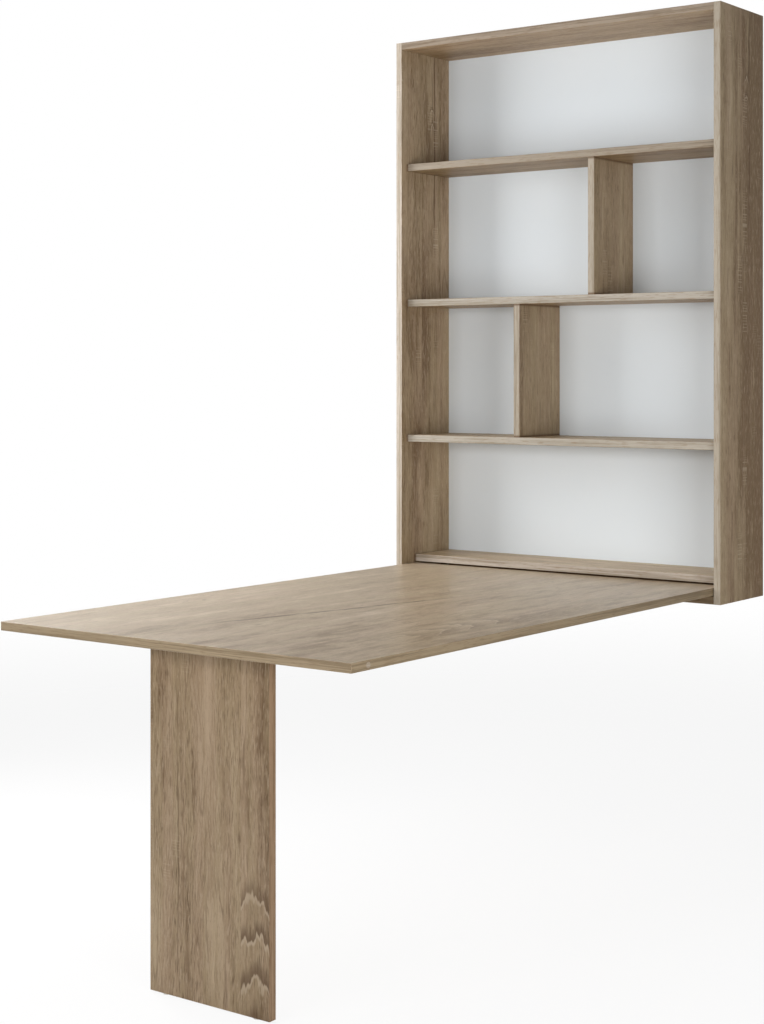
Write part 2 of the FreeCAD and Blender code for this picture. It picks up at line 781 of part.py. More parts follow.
def wall_brackets():
    """Small angles that hold the cabinet's lower edge back to the wall."""
    angle = new_body("wall_bracket_master")
    pad(angle, "x", [("0", "-bracket_leg"), ("0", "0"), ("-bracket_leg", "0"),
                     ("-bracket_leg", "-sheet"), ("-sheet", "-sheet"),
                     ("-sheet", "-bracket_leg")], "bracket_width", "-bracket_width / 2")
    drill(angle, "wall_hole", "y", [("0", "-bracket_leg / 2 - sheet / 2")],
          "bracket_hole_radius", "-sheet", 1, "sheet")
    group("wall_brackets", angle,
          [(f"{side} * bracket_spacing / 2", "wall_y", "cabinet_base", Rotation())
           for side in (-1, 1)])


# ---------------------------------------------------------------- the whole desk

side_panel("side_left", -1)
side_panel("side_right", 1)
for board_name in BOARDS:
    cross_board(board_name)
for divider_name in DIVIDERS:
    divider_board(divider_name)
back_panel()
table_leaf()
leg_panel()
pivots()
catch()
leg_hinges()
leg_glides()
tongues()
cam_fittings()
wall_rail()
hanging_strip()
wall_brackets()
doc.recompute()


# ---------------------------------------------------------------- checks and files

def check_document():
    """Stop if an object failed, or if a pocket or hole took nothing away."""
    for item in doc.Objects:
        if "Invalid" in item.State or "Error" in item.State:
            raise RuntimeError(f"{item.Label} failed: {item.State}")
        if item.TypeId == "PartDesign::Pocket":
            removed = item.BaseFeature.Shape.Volume - item.Shape.Volume
            if removed < 0.1:
                raise RuntimeError(f"{item.Label} cuts nothing")


def write_nodes():
    """Check each sub-part's shape and write it to its own file."""
    for item in nodes:
        if item.Shape.isNull() or not item.Shape.isValid() or not item.Shape.Solids:
            raise RuntimeError(f"{item.Label} has no valid shape")
    os.makedirs("parts", exist_ok=True)
    for item in nodes:
        item.Shape.exportStep(f"parts/{item.Label}.step")


check_document()
write_nodes()
print(len(nodes), "sub-parts written")
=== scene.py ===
# Fold-down wall desk: its finishes, screws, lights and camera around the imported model.
# Metres, in the model's own frame: +Z up, X along the wall, +Y into the wall, floor at Z = 0.
import math

import bpy
import numpy as np
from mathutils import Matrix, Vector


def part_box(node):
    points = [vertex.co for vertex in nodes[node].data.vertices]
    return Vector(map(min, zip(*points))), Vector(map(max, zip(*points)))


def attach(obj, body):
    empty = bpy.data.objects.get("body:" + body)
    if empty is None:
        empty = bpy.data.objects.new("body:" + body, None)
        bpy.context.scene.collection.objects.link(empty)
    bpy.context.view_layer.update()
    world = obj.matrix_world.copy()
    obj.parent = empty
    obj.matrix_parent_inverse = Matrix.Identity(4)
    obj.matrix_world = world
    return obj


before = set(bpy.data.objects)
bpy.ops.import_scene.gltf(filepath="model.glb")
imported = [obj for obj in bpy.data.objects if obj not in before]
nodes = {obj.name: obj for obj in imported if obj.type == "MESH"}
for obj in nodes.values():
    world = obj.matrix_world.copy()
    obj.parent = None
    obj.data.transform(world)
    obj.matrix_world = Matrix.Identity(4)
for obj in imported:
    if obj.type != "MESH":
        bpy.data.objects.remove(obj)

MM = 0.001
X, Y, Z = 0, 1, 2
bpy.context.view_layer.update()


def colour(red, green, blue):
    """A display colour of 0 to 255 as the linear colour that shaders take."""
    share = np.array([red, green, blue]) / 255
    linear = np.where(share > 0.04045, ((share + 0.055) / 1.055) ** 2.4, share / 12.92)
    return (*linear.tolist(), 1.0)


# Oak decor of the boards, two faint casts that its streaks are multiplied by, and the
# greyer decor of the edge bands.
OAK_LIGHT = colour(190, 170, 144)
OAK_MIDDLE = colour(168, 147, 120)
OAK_DARK = colour(130, 107, 81)
OAK_LINE = colour(100, 76, 52)
OAK_TICK = colour(200, 184, 160)
OAK_OLIVE = (0.995, 1.005, 0.95, 1.0)
OAK_ROSE = (1.01, 0.99, 0.975, 1.0)
BAND_LIGHT = colour(172, 159, 142)
BAND_DARK = colour(142, 128, 109)


# ---------------------------------------------------------------- node trees

class Tree:
    """Short calls that add nodes to a node tree and join them."""

    def __init__(self, tree):
        self.tree = tree

    def add(self, kind, inputs=(), **settings):
        """A new node. inputs maps its sockets to values or to other nodes' outputs."""
        made = self.tree.nodes.new(kind)
        for name, value in settings.items():
            setattr(made, name, value)
        for key, value in dict(inputs).items():
            self.feed(made.inputs[key], value)
        return made

    def feed(self, socket, value):
        """Join another node's output to a socket, or set the socket to a value."""
        if isinstance(value, bpy.types.NodeSocket):
            self.tree.links.new(value, socket)
        else:
            socket.default_value = value

    def math(self, operation, *values):
        return self.add("ShaderNodeMath", enumerate(values), operation=operation).outputs[0]

    def mix(self, share, first, second, blend="MIX"):
        """Two colours mixed; share 0 gives the first and 1 the second."""
        made = self.add("ShaderNodeMix", {0: share, 6: first, 7: second},
                        data_type="RGBA", blend_type=blend)
        return made.outputs[2]

    def ramp(self, value, low, high, bottom=0.0, top=1.0):
        """A smooth step from bottom to top as the value goes from low to high."""
        made = self.add("ShaderNodeMapRange", {0: value, 1: low, 2: high, 3: bottom, 4: top},
                        interpolation_type="SMOOTHSTEP")
        return made.outputs[0]

    def vector(self, x=0.0, y=0.0, z=0.0):
        return self.add("ShaderNodeCombineXYZ", {0: x, 1: y, 2: z}).outputs[0]

    def split(self, vector):
        return self.add("ShaderNodeSeparateXYZ", {0: vector}).outputs

    def stretch(self, vector, x, y, z):
        """A vector scaled along each axis."""
        made = self.add("ShaderNodeVectorMath", {0: vector, 1: (x, y, z)},
                        operation="MULTIPLY")
        return made.outputs[0]

    def noise(self, vector, detail=2.0, roughness=0.5):
        """Smooth noise of 0 to 1 whose patches are about one unit of the vector wide."""
        made = self.add("ShaderNodeTexNoise", {"Vector": vector, "Scale": 1.0,
                                               "Detail": detail, "Roughness": roughness})
        return made.outputs[0]

    def random(self, value):
        """Three random numbers of 0 to 1 for each different value."""
        made = self.add("ShaderNodeTexWhiteNoise", {"W": value}, noise_dimensions="1D")
        return self.add("ShaderNodeSeparateColor", {0: made.outputs["Color"]}).outputs


def new_group(name, inputs, outputs):
    """A shader node group with sockets given as name to kind, and its two end nodes."""
    group = bpy.data.node_groups.new(name, "ShaderNodeTree")
    for way, sockets in (("INPUT", inputs), ("OUTPUT", outputs)):
        for socket, kind in sockets.items():
            group.interface.new_socket(socket, in_out=way, socket_type=f"NodeSocket{kind}")
    tree = Tree(group)
    given = tree.add("NodeGroupInput").outputs
    result = tree.add("NodeGroupOutput").inputs
    return group, tree, given, result


def saw_ticks(tree, along, across, seed, column, pitch):
    """Mask of short saw marks across the grain, in patches of a few scattered columns.

    Each column is a stretch of the board's width. A column shows marks only where its own
    noise is high, and the marks repeat at a pitch that drifts a little.
    """
    patches_per_metre, drifts_per_metre, most_drift = 7.0, 30.0, 6.0
    place = tree.math("DIVIDE", across, column)
    cell = tree.math("FLOOR", place)
    inside = tree.math("ABSOLUTE", tree.math("SUBTRACT", tree.math("FRACT", place), 0.5))
    chance = tree.random(tree.math("ADD", cell, seed))
    own = tree.math("ADD", tree.math("MULTIPLY", chance[0], 50.0), seed)
    patch = tree.noise(tree.vector(tree.math("MULTIPLY", along, patches_per_metre), own, cell),
                       1.0)
    drift = tree.noise(tree.vector(tree.math("MULTIPLY", along, drifts_per_metre), cell, own),
                       1.0)
    phase = tree.math("ADD", tree.math("DIVIDE", along, pitch),
                      tree.math("MULTIPLY", drift, most_drift))
    mark = tree.ramp(tree.math("FRACT", phase), 0.7, 0.92)
    in_column = tree.ramp(inside, 0.5, 0.34)
    present = tree.ramp(tree.math("MULTIPLY_ADD", chance[1], 0.22, patch), 0.74, 0.84)
    return tree.math("MULTIPLY", tree.math("MULTIPLY", mark, in_column), present)


def arches(tree, along, across, where, shape, strips, streak, mottle):
    """Dark and light masks of a patch of nested arches that stand on one line.

    where is the line's place across, the patch's middle along and the arches' half-width.
    shape is half the patch's length, the arches' pitch and their bow: an arch falls by the
    bow times the square of the distance from the line. strips is the number of the strip
    here, the place of one seam and the strips' width: the patch ends at the seams. Streaks
    fray the arches along the grain and mottle bends them.
    """
    frayed, bent, paleness = 0.12, 1.5, 0.8
    centre, middle, half_width = tree.split(where)
    reach, pitch, bow = tree.split(shape)
    aside = tree.math("SUBTRACT", across, centre)
    rise = tree.math("MULTIPLY_ADD", tree.math("MULTIPLY", aside, aside), bow, along)
    turns = tree.math("MULTIPLY_ADD", streak, frayed, tree.math("DIVIDE", rise, pitch))
    phase = tree.math("FRACT", tree.math("MULTIPLY_ADD", mottle, bent, turns))
    # Each arch darkens slowly and ends sharply, with a pale line behind its end.
    dark = tree.math("MULTIPLY", tree.ramp(phase, 0.3, 0.8), tree.ramp(phase, 0.86, 0.8))
    light = tree.math("MULTIPLY", tree.ramp(phase, 0.8, 0.88), tree.ramp(phase, 1.0, 0.9))
    beside = tree.math("ABSOLUTE", aside)
    inside = tree.ramp(beside, half_width, tree.math("MULTIPLY", half_width, 0.5))
    beyond = tree.math("ABSOLUTE", tree.math("SUBTRACT", along, middle))
    patch = tree.ramp(beyond, reach, tree.math("MULTIPLY", reach, 0.4))
    strip, seam, strip_width = strips
    from_seam = tree.math("DIVIDE", tree.math("SUBTRACT", centre, seam), strip_width)
    same = tree.math("COMPARE", strip, tree.math("FLOOR", from_seam), 0.5)
    shown = tree.math("MULTIPLY", tree.math("MULTIPLY", inside, patch), same)
    pale = tree.math("MULTIPLY", shown, paleness)
    return tree.math("MULTIPLY", dark, shown), tree.math("MULTIPLY", light, pale)


def vein(tree, along, across, where, shape, wander, mottle):
    """Mask of one dark line that runs nearly along the grain and fades in and out.

    where is the line's place across, its middle along and half its length. shape is how far
    it drifts across per metre, half its greatest width and its strength. wander bends it
    with the rest of the grain.
    """
    centre, middle, reach = tree.split(where)
    slope, widest, strength = tree.split(shape)
    beyond = tree.math("SUBTRACT", along, middle)
    line = tree.math("MULTIPLY_ADD", beyond, slope, centre)
    aside = tree.math("ABSOLUTE", tree.math("ADD", tree.math("SUBTRACT", across, line), wander))
    width = tree.math("MULTIPLY", tree.ramp(mottle, 0.35, 0.6, 0.4, 1.0), widest)
    near = tree.ramp(aside, width, tree.math("MULTIPLY", width, 0.2))
    ends = tree.ramp(tree.math("ABSOLUTE", beyond), reach, tree.math("MULTIPLY", reach, 0.6))
    shown = tree.math("MULTIPLY", ends, tree.ramp(mottle, 0.36, 0.5, 0.25, 1.0))
    return tree.math("MULTIPLY", tree.math("MULTIPLY", near, shown), strength)


def grain_place(tree, given, across, own):
    """A strip's own place in the tree, bent a little across, and how far it is bent."""
    apart_along, apart_across, apart_through = 5.0, 3.0, 11.7
    widest_curl, widest_bend = 6 * MM, 30 * MM
    along, _, through = tree.split(given["Grain"])
    paced = tree.math("MULTIPLY", along, given["Pace"])
    base = tree.vector(tree.math("MULTIPLY_ADD", own[0], apart_along, paced),
                       tree.math("MULTIPLY_ADD", own[1], apart_across, across),
                       tree.math("MULTIPLY_ADD", given["Seed"], apart_through, through))
    bend = tree.math("SUBTRACT", tree.noise(tree.stretch(base, 1.6, 5.0, 5.0), 2.0), 0.5)
    curl = tree.math("SUBTRACT", tree.noise(tree.stretch(base, 24.0, 90.0, 90.0), 1.0), 0.5)
    wander = tree.math("MULTIPLY_ADD", curl, widest_curl,
                       tree.math("MULTIPLY", bend, widest_bend))
    bent = tree.add("ShaderNodeVectorMath", {0: base, 1: tree.vector(0.0, wander, 0.0)},
                    operation="ADD")
    return bent.outputs[0], wander


def oak_ground(tree, given, place, across, own, weighted):
    """The decor's ground colour: dark to light by a level of tone, in two faint casts.

    weighted pairs noises with weights. The level is about one half, plus each noise's
    distance from its middle by its weight, a step for each strip and a lean across.
    """
    strip_step = 0.25
    level = 0.0
    for noise, weight in weighted:
        level = tree.math("MULTIPLY_ADD", tree.math("SUBTRACT", noise, 0.5), weight, level)
    level = tree.math("MULTIPLY_ADD", level, given["Contrast"], 0.5)
    level = tree.math("MULTIPLY_ADD", tree.math("SUBTRACT", own[2], 0.5), strip_step, level)
    level = tree.math("MULTIPLY_ADD", tree.math("SUBTRACT", across, given["Strip Start"]),
                      given["Lean"], level)
    light_half = tree.mix(tree.ramp(level, 0.45, 1.0), OAK_MIDDLE, OAK_LIGHT)
    shown = tree.mix(tree.ramp(level, 0.5, 0.0), light_half, OAK_DARK)
    hue = tree.noise(tree.stretch(place, 1.2, 30.0, 40.0), 1.0)
    cast = tree.mix(tree.ramp(hue, 0.38, 0.62), OAK_OLIVE, OAK_ROSE)
    return tree.mix(1.0, shown, cast, "MULTIPLY")


def oak_fibres(tree, given, place, tone, mottle, shown):
    """A colour with dark and light fibres, contour lines of the tone and pores over it.

    The second output is how deep the dark fibres and the pores are.
    """
    light_weight, pit_weight = 0.75, 0.35
    contours, ragged, half_line = 4.0, 0.35, 0.05
    fibre = tree.noise(tree.stretch(place, 32.0, 400.0, 400.0), 2.0, 0.6)
    gleam = tree.noise(tree.stretch(place, 40.0, 340.0, 170.0), 2.0, 0.6)
    pore = tree.noise(tree.stretch(place, 120.0, 1500.0, 1500.0), 1.0)
    strength = tree.math("MULTIPLY", given["Fibres"], given["Contrast"])
    dark_part = tree.math("MULTIPLY", tree.ramp(tone, 0.66, 0.34, 0.35, 0.9), strength)
    dark_fibre = tree.math("MULTIPLY", tree.ramp(fibre, 0.5, 0.66), dark_part)
    shown = tree.mix(dark_fibre, shown, OAK_LINE)
    light_fibre = tree.math("MULTIPLY", tree.ramp(gleam, 0.52, 0.68), strength)
    shown = tree.mix(tree.math("MULTIPLY", light_fibre, light_weight), shown, OAK_LIGHT)
    phase = tree.math("FRACT", tree.math("MULTIPLY_ADD", mottle, ragged,
                                         tree.math("MULTIPLY", tone, contours)))
    off_line = tree.math("ABSOLUTE", tree.math("SUBTRACT", phase, 0.5))
    contour = tree.math("MULTIPLY", tree.ramp(off_line, half_line, 0.0),
                        tree.ramp(mottle, 0.42, 0.6, 0.05, 0.45))
    shown = tree.mix(contour, shown, OAK_LINE)
    pits = tree.ramp(pore, 0.58, 0.76)
    shown = tree.mix(tree.math("MULTIPLY", pits, pit_weight), shown, OAK_LINE)
    return shown, tree.math("ADD", dark_fibre, pits)


def oak_figure(tree, given, strip, wander, streak, mottle, shown):
    """A colour with the dark line, the patch of arches and the saw ticks over it."""
    along, across, _ = tree.split(given["Grain"])
    dark_vein = vein(tree, along, across, given["Vein Place"], given["Vein Shape"], wander,
                     mottle)
    dark_arch, light_arch = arches(tree, along, across, given["Arch Place"],
                                   given["Arch Shape"],
                                   (strip, given["Strip Start"], given["Strip Width"]),
                                   streak, mottle)
    shown = tree.mix(dark_vein, shown, OAK_LINE)
    shown = tree.mix(tree.math("MULTIPLY", dark_arch, given["Arches"]), shown, OAK_LINE)
    shown = tree.mix(tree.math("MULTIPLY", light_arch, given["Arches"]), shown, OAK_TICK)
    ticks = saw_ticks(tree, along, across, given["Seed"], column=26 * MM, pitch=9 * MM)
    return tree.mix(tree.math("MULTIPLY", ticks, given["Ticks"]), shown, OAK_TICK)


def oak_group():
    """Oak decor in a board's own directions: Grain is X along, Y across, Z through, in m.

    The board's width is laid in strips that come from different places of the tree. In each
    strip broad tones, stripes of two hues, fibres and pores run along the grain, and thin
    lines follow the contours of the broad tone; they are the shorter the higher the Pace.
    One patch of arches stands at Arch Place and one dark line at Vein Place. Noises are
    stretched by how many of their patches a metre holds along, across and through.
    """
    raised, sunk = 0.6, 0.5
    group, tree, given, result = new_group(
        "oak_decor",
        {"Grain": "Vector", "Seed": "Float", "Pace": "Float", "Strip Width": "Float",
         "Strip Start": "Float", "Arch Place": "Vector", "Arch Shape": "Vector",
         "Arches": "Float", "Vein Place": "Vector", "Vein Shape": "Vector",
         "Fibres": "Float", "Ticks": "Float", "Lean": "Float", "Contrast": "Float",
         "Tint": "Color"},
        {"Color": "Color", "Roughness": "Float", "Height": "Float"})
    across = tree.split(given["Grain"])[Y]
    from_start = tree.math("SUBTRACT", across, given["Strip Start"])
    strip = tree.math("FLOOR", tree.math("DIVIDE", from_start, given["Strip Width"]))
    own = tree.random(tree.math("ADD", strip, tree.math("MULTIPLY", given["Seed"], 17.3)))
    place, wander = grain_place(tree, given, across, own)
    tone = tree.noise(tree.stretch(place, 1.0, 14.0, 14.0), 3.0)
    mottle = tree.noise(tree.stretch(place, 6.0, 38.0, 38.0), 3.0)
    stripe = tree.noise(tree.stretch(place, 1.8, 75.0, 75.0), 2.0)
    streak = tree.noise(tree.stretch(place, 9.0, 200.0, 200.0), 3.0, 0.62)
    weighted = ((tone, 1.4), (stripe, 0.6), (streak, given["Fibres"]), (mottle, 1.1))
    shown = oak_ground(tree, given, place, across, own, weighted)
    shown, hollows = oak_fibres(tree, given, place, tone, mottle, shown)
    shown = oak_figure(tree, given, strip, wander, streak, mottle, shown)
    tree.feed(result["Color"], tree.mix(1.0, shown, given["Tint"], "MULTIPLY"))
    tree.feed(result["Roughness"], tree.ramp(streak, 0.3, 0.7, 0.46, 0.38))
    tree.feed(result["Height"], tree.math("SUBTRACT", tree.math("MULTIPLY", streak, raised),
                                          tree.math("MULTIPLY", hollows, sunk)))
    return group


def band_group():
    """Edge band decor. Run is X along the edge and Y through the board, in m.

    Long streaks with fine lines and flecks over them, and saw ticks.
    """
    fine_weight, fleck_weight, tick_weight = 0.9, 0.45, 0.45
    group, tree, given, result = new_group(
        "edge_band", {"Run": "Vector", "Seed": "Float", "Tint": "Color"},
        {"Color": "Color", "Height": "Float"})
    along, through, _ = tree.split(given["Run"])
    seed = given["Seed"]
    place = tree.vector(along, through, tree.math("MULTIPLY", seed, 3.1))
    broad = tree.noise(tree.stretch(place, 1.3, 95.0, 1.0), 2.0)
    fine = tree.noise(tree.stretch(place, 7.0, 420.0, 1.0), 2.0, 0.6)
    fleck = tree.noise(tree.stretch(place, 40.0, 360.0, 1.0), 1.0)
    level = tree.math("MULTIPLY_ADD", tree.math("SUBTRACT", fine, 0.5), fine_weight, broad)
    shown = tree.mix(tree.ramp(level, 0.62, 0.3), BAND_LIGHT, BAND_DARK)
    flecks = tree.math("MULTIPLY", tree.ramp(fleck, 0.54, 0.72), fleck_weight)
    shown = tree.mix(flecks, shown, OAK_DARK)
    ticks = saw_ticks(tree, along, through, seed, column=60 * MM, pitch=8 * MM)
    shown = tree.mix(tree.math("MULTIPLY", ticks, tick_weight), shown, OAK_TICK)
    tree.feed(result["Color"], tree.mix(1.0, shown, given["Tint"], "MULTIPLY"))
    tree.feed(result["Height"], fine)
    return group


def chipboard_group():
    """Raw chipboard: small wood flakes, pale to brown, with dark pits over them."""
    group, tree, given, result = new_group("chipboard", {"Place": "Vector"},
                                           {"Color": "Color", "Height": "Float"})
    flakes = tree.add("ShaderNodeTexVoronoi", {"Vector": given["Place"], "Scale": 700.0})
    own = tree.add("ShaderNodeSeparateColor", {0: flakes.outputs["Color"]}).outputs
    grit = tree.noise(tree.stretch(given["Place"], 1900.0, 1900.0, 1900.0), 2.0)
    shown = tree.mix(own[0], colour(196, 164, 118), colour(150, 116, 76))
    shown = tree.mix(tree.ramp(grit, 0.55, 0.8), shown, colour(86, 62, 40))
    tree.feed(result["Color"], shown)
    tree.feed(result["Height"], grit)
    return group


OAK = oak_group()
BAND = band_group()
CHIPBOARD = chipboard_group()


# ---------------------------------------------------------------- materials

def new_material(name, **constants):
    """A material with one Principled shader, its constants set on its own sockets."""
    material = bpy.data.materials.new(name)
    material.use_nodes = True
    tree = Tree(material.node_tree)
    shader = material.node_tree.nodes["Principled BSDF"]
    for socket, value in constants.items():
        shader.inputs[socket.replace("_", " ")].default_value = value
    return material, tree, shader


def bump(tree, shader, height, distance, strength=0.5):
    made = tree.add("ShaderNodeBump", {"Height": height, "Distance": distance,
                                       "Strength": strength})
    tree.feed(shader.inputs["Normal"], made.outputs[0])


def give(names, material):
    """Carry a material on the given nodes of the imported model."""
    for name in names:
        nodes[name].data.materials.clear()
        nodes[name].data.materials.append(material)


def grey(value):
    """A neutral tint that makes a decor's linear brightness this many times as high."""
    return (value, value, value, 1.0)


def painted_end_shade(tree, name, axis, along):
    """Mask of painted shade over a board's last millimetres at both ends, where it meets others.
    """
    shade_start, shade_full, shade = 8.0 * MM, 2.0 * MM, 0.85
    low, high = (corner[axis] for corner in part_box(name))
    from_middle = tree.math("ABSOLUTE", tree.math("SUBTRACT", along, (low + high) / 2))
    half = (high - low) / 2
    return tree.ramp(from_middle, half - shade_start, half - shade_full, 0.0, shade)


def board(name, seed, grain, width, strips=(0.15, 0.0), arch_place=(9.0, 0.0, 0.05),
          arch_shape=(0.1, 0.05, 20.0), arch_strength=0.5, vein_place=(9.0, 0.0, 0.1),
          vein_shape=(0.0, 3 * MM, 0.6), pace=1.0, fibres=0.7, ticks=0.4, lean=0.0,
          contrast=0.9, tint=grey(1.0), band_tint=grey(1.0), raw_back=True, end_shade=False,
          gloss=0.3, lacquer=0.0):
    """Finish of one laminated board.

    grain and width are the axes along and across the decor; the third axis goes through
    the board. strips is the strips' width and the place of one seam. arch_place and
    arch_shape say where one patch of arches stands and how it looks, and vein_place and
    vein_shape the same of one dark line; without them both stand 9 m off, on no board.
    pace is how quickly the decor changes along the grain, and lean how much its tone rises
    per metre of its width. fibres, ticks and contrast weight the decor's parts, and the
    tints multiply its colours. Narrow faces get the edge band, whose decor runs along the
    longer side of the face. raw_back leaves the edge at the wall bare, and end_shade paints
    shade at both ends, where the board meets others. gloss is the specular level and
    lacquer the weight of a clear coat.
    """
    through = X + Y + Z - grain - width
    arris_weight = 1.6
    material, tree, shader = new_material(f"oak_{name}", IOR=1.46, Specular_IOR_Level=gloss,
                                          Coat_Weight=lacquer, Coat_Roughness=0.3)
    coordinates = tree.add("ShaderNodeTexCoord").outputs
    place = tree.split(coordinates["Object"])
    facing = tree.split(coordinates["Normal"])
    face = tree.add("ShaderNodeGroup", node_tree=OAK)
    settings = {"Grain": tree.vector(place[grain], place[width], place[through]),
                "Seed": seed, "Pace": pace, "Strip Width": strips[0], "Strip Start": strips[1],
                "Arch Place": arch_place, "Arch Shape": arch_shape, "Arches": arch_strength,
                "Vein Place": vein_place, "Vein Shape": vein_shape, "Fibres": fibres,
                "Ticks": ticks, "Lean": lean, "Contrast": contrast, "Tint": tint}
    for socket, value in settings.items():
        tree.feed(face.inputs[socket], value)
    on_end = tree.ramp(tree.math("ABSOLUTE", facing[grain]), 0.6, 0.8)
    run = tree.math("ADD", tree.math("MULTIPLY", place[width], on_end),
                    tree.math("MULTIPLY", place[grain], tree.math("SUBTRACT", 1.0, on_end)))
    band = tree.add("ShaderNodeGroup", {0: tree.vector(run, place[through], 0.0), 1: seed,
                                        2: band_tint}, node_tree=BAND)
    on_face = tree.ramp(tree.math("ABSOLUTE", facing[through]), 0.62, 0.78)
    shown = tree.mix(on_face, band.outputs["Color"], face.outputs["Color"])
    arris = tree.math("MULTIPLY", on_face, tree.math("SUBTRACT", 1.0, on_face))
    shown = tree.mix(tree.math("MULTIPLY", arris, arris_weight), shown, OAK_LINE)
    # Painted shade at both ends of the board, where it meets other boards.
    if end_shade:
        shown = tree.mix(painted_end_shade(tree, name, grain, place[grain]), shown, OAK_LINE)
    height = tree.math("ADD", tree.math("MULTIPLY", face.outputs["Height"], on_face),
                       band.outputs["Height"])
    if raw_back:
        chips = tree.add("ShaderNodeGroup", {0: coordinates["Object"]}, node_tree=CHIPBOARD)
        at_wall = tree.ramp(facing[Y], 0.6, 0.8)
        shown = tree.mix(at_wall, shown, chips.outputs["Color"])
    tree.feed(shader.inputs["Base Color"], shown)
    tree.feed(shader.inputs["Roughness"], face.outputs["Roughness"])
    bump(tree, shader, height, 0.08 * MM)
    give([name], material)


def finish_boards():
    """Each board's decor: grain upright on sides, dividers and leg, else lengthwise."""
    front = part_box("side_right")[0].y
    feather = {"arch_place": (front + 0.135, 1.98, 0.014), "arch_shape": (0.055, -0.04, 90.0),
               "arch_strength": 0.6, "vein_place": (front + 0.147, 1.9, 0.34),
               "vein_shape": (0.0, 5 * MM, 0.85)}
    # The tints and band tints are partly each board's own tone and partly painted light and
    # shade: copies of one decor made lighter or darker by how much light each board gets.
    side_band = (0.93, 0.95, 0.96, 1.0)
    board("side_left", 1.0, Z, Y, (0.088, front), lean=-1.0,
          band_tint=(1.3, 1.35, 1.45, 1.0), **feather)
    # The right side's strong lean is painted shade: its tone gets darker towards the wall edge.
    board("side_right", 2.0, Z, Y, (0.088, front), lean=-3.0, tint=grey(0.9),
          band_tint=side_band, **feather)
    for seed, name in ((3.0, "divider_upper"), (4.0, "divider_lower")):
        board(name, seed, Z, Y, (0.11, front + 0.05), tint=(0.84, 0.84, 0.82, 1.0),
              band_tint=side_band, end_shade=True)
    along_shelves = (
        ("top_panel", (1.0, 0.94, 0.88, 1.0), (0.79, 0.76, 0.75, 1.0)),
        ("shelf_upper", (0.86, 0.8, 0.7, 1.0), (0.78, 0.78, 0.78, 1.0)),
        ("shelf_middle", (0.92, 0.87, 0.8, 1.0), (1.0, 1.07, 1.16, 1.0)),
        ("shelf_lower", (1.0, 1.0, 1.0, 1.0), (1.02, 1.09, 1.17, 1.0)),
        # The bottom panel's dark band tint is painted shadow, the shade under the table leaf.
        ("bottom_panel", (0.8, 0.75, 0.66, 1.0), (0.42, 0.36, 0.28, 1.0)),
        ("ledge_board", (1.25, 1.27, 1.3, 1.0), (1.14, 1.18, 1.28, 1.0)))
    for seed, (name, tint, band_tint) in enumerate(along_shelves, start=5):
        board(name, float(seed), X, Y, (0.12, front + 0.06), tint=tint, band_tint=band_tint,
              end_shade=name not in ("top_panel", "bottom_panel"), gloss=0.15)
    # The leaf's lean is painted shade, darker towards the right; its dark band tint is painted
    # shade on its edges.
    board("table_leaf", 51.0, Y, X, strips=(0.32, -0.2), arch_place=(0.36, -0.3, 0.055),
          arch_shape=(0.26, -0.09, 35.0), arch_strength=0.45, vein_place=(-0.01, -0.25, 0.38),
          vein_shape=(0.25, 11 * MM, 0.9), pace=2.25, fibres=0.5, lean=-0.3, contrast=0.8,
          tint=(1.24, 1.31, 1.43, 1.0), band_tint=(0.76, 0.69, 0.55, 1.0), raw_back=False,
          gloss=0.4, lacquer=0.35)
    # The leg's dark tint is partly its own tone and partly painted shade under the table.
    board("leg_panel", 74.0, Z, X, strips=(0.157, 0.089), arch_place=(0.128, 0.1, 0.08),
          arch_shape=(0.24, -0.08, 16.0), arch_strength=0.75, vein_place=(-0.09, 0.36, 0.34),
          fibres=0.85, ticks=0.3, contrast=0.95, tint=(0.67, 0.65, 0.63, 1.0),
          band_tint=(0.73, 0.57, 0.44, 1.0), raw_back=False)


def finish_back():
    """White melamine in front, brown hardboard behind; brown below the ledge is painted shade."""
    material, tree, shader = new_material("white_back", Roughness=0.42, IOR=1.46)
    coordinates = tree.add("ShaderNodeTexCoord").outputs
    place = coordinates["Object"]
    cloud = tree.noise(tree.stretch(place, 3.0, 3.0, 3.0), 3.0)
    peel = tree.noise(tree.stretch(place, 420.0, 420.0, 420.0), 2.0)
    white = tree.mix(cloud, colour(223, 229, 233), colour(217, 224, 229))
    fibres = tree.noise(tree.stretch(place, 160.0, 160.0, 60.0), 4.0, 0.65)
    brown = tree.mix(fibres, colour(120, 84, 54), colour(158, 120, 84))
    behind = tree.ramp(tree.split(coordinates["Normal"])[Y], 0.4, 0.6)
    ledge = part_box("ledge_board")[0].z
    # Painted shade: below the ledge the white front turns brown, for the dark slot under it.
    painted_slot_shade = tree.ramp(tree.split(place)[Z], ledge + 3 * MM, ledge)
    tree.feed(shader.inputs["Base Color"],
              tree.mix(tree.math("MAXIMUM", behind, painted_slot_shade), white, brown))
    bump(tree, shader, tree.math("ADD", peel, fibres), 0.05 * MM, 0.3)
    give(["back_panel"], material)


